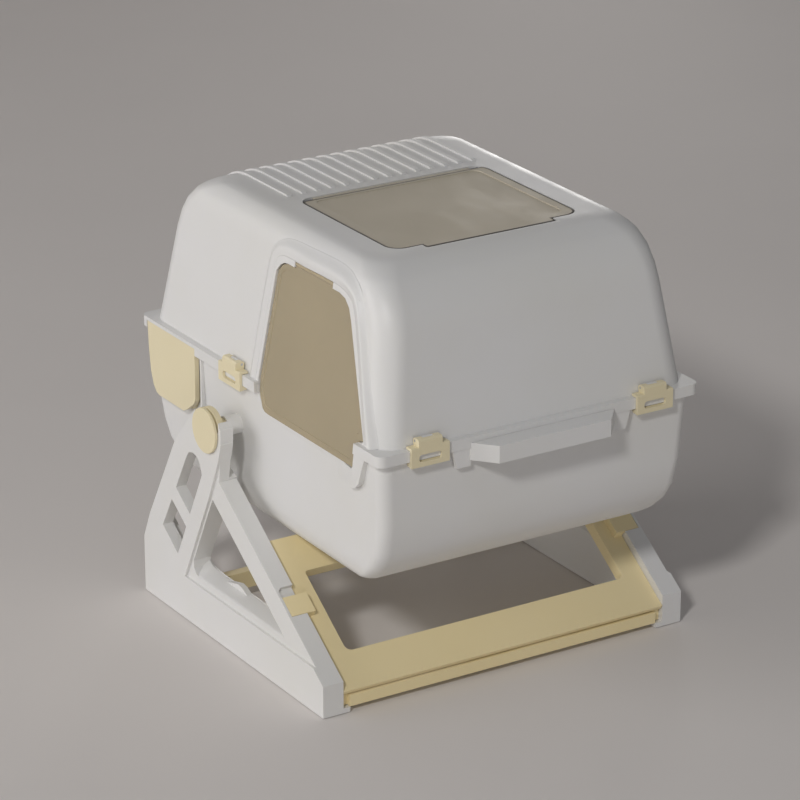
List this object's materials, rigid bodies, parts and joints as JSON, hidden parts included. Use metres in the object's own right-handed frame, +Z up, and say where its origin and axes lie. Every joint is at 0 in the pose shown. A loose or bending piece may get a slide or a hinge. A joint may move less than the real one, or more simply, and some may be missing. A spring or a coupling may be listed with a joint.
{
  "type": "litter box",
  "caption": "Hooded litter box that rolls back on two side stands, with a waste drawer, hinged top lid, entry flap and lip latches.",
  "frame": {"origin": "middle of the footprint on the floor", "axes": "+X across the stands to the right, +Y from the grip to the back, +Z up"},
  "size_m": [0.5084, 0.577, 0.5302],
  "materials": {
    "white_plastic": "fine satin moulded white",
    "cream_plastic": "fine satin moulded cream yellow",
    "sieve_plastic": "satin light grey",
    "smoke_plastic": "tinted translucent, smooth",
    "pin_steel": "drawn wire",
    "pad_rubber": "matt"
  },
  "bodies": {
    "stand": {"stand_side_left": "white_plastic", "stand_side_right": "white_plastic", "stand_front_frame": "cream_plastic", "stand_floor_rail": "cream_plastic", "stand_rear_bar": "cream_plastic", "foot_pad_front_left": "pad_rubber", "foot_pad_front_right": "pad_rubber", "foot_pad_back_left": "pad_rubber", "foot_pad_back_right": "pad_rubber"},
    "box": {"tub": "white_plastic", "hood": "white_plastic", "lid_rod": "pin_steel", "flap_rod": "pin_steel", "drawer_cradle": "white_plastic", "sieve_grille": "sieve_plastic", "front_handle": "white_plastic", "hub_left": "cream_plastic", "hub_right": "cream_plastic", "hub_screw_left": "pin_steel", "hub_screw_right": "pin_steel", "latch_pin_front_left": "pin_steel", "latch_pin_front_right": "pin_steel", "latch_pin_back_left": "pin_steel", "latch_pin_back_right": "pin_steel", "latch_pin_left": "pin_steel", "latch_pin_right": "pin_steel"},
    "lid": {"top_lid": "smoke_plastic"},
    "flap": {"entry_flap": "smoke_plastic"},
    "drawer": {"waste_drawer": "cream_plastic"},
    "latch_front_left": {"latch_front_left": "cream_plastic"},
    "latch_front_right": {"latch_front_right": "cream_plastic"},
    "latch_back_left": {"latch_back_left": "cream_plastic"},
    "latch_back_right": {"latch_back_right": "cream_plastic"},
    "latch_left": {"latch_left": "cream_plastic"},
    "latch_right": {"latch_right": "cream_plastic"}
  },
  "joints": [
    {"name": "box_roll", "type": "hinge", "parent": "stand", "child": "box", "pos_m": [0, 0.067, 0.266], "axis": [1, 0, 0], "range_deg": [-70, 0]},
    {"name": "drawer_slide", "type": "slide", "parent": "box", "child": "drawer", "axis": [-1, 0, 0], "range_m": [0, 0.38]},
    {"name": "lid_hinge", "type": "hinge", "parent": "box", "child": "lid", "pos_m": [0, 0.0596, 0.5253], "axis": [-1, 0, 0], "range_deg": [0, 100]},
    {"name": "flap_hinge", "type": "hinge", "parent": "box", "child": "flap", "pos_m": [-0.18738, -0.082, 0.492], "axis": [0, -1, 0], "range_deg": [0, 75]},
    {"name": "latch_front_left_hinge", "type": "hinge", "parent": "box", "child": "latch_front_left", "pos_m": [-0.152, -0.2577, 0.3465], "axis": [-1, 0, 0], "range_deg": [0, 100]},
    {"name": "latch_front_right_hinge", "type": "hinge", "parent": "box", "child": "latch_front_right", "pos_m": [0.152, -0.2577, 0.3465], "axis": [-1, 0, 0], "range_deg": [0, 100]},
    {"name": "latch_back_left_hinge", "type": "hinge", "parent": "box", "child": "latch_back_left", "pos_m": [-0.152, 0.2797, 0.3465], "axis": [1, 0, 0], "range_deg": [0, 100]},
    {"name": "latch_back_right_hinge", "type": "hinge", "parent": "box", "child": "latch_back_right", "pos_m": [0.152, 0.2797, 0.3465], "axis": [1, 0, 0], "range_deg": [0, 100]},
    {"name": "latch_left_hinge", "type": "hinge", "parent": "box", "child": "latch_left", "pos_m": [-0.2122, 0.063, 0.3465], "axis": [0, 1, 0], "range_deg": [0, 100]},
    {"name": "latch_right_hinge", "type": "hinge", "parent": "box", "child": "latch_right", "pos_m": [0.2122, 0.063, 0.3465], "axis": [0, -1, 0], "range_deg": [0, 100]}
  ]
}
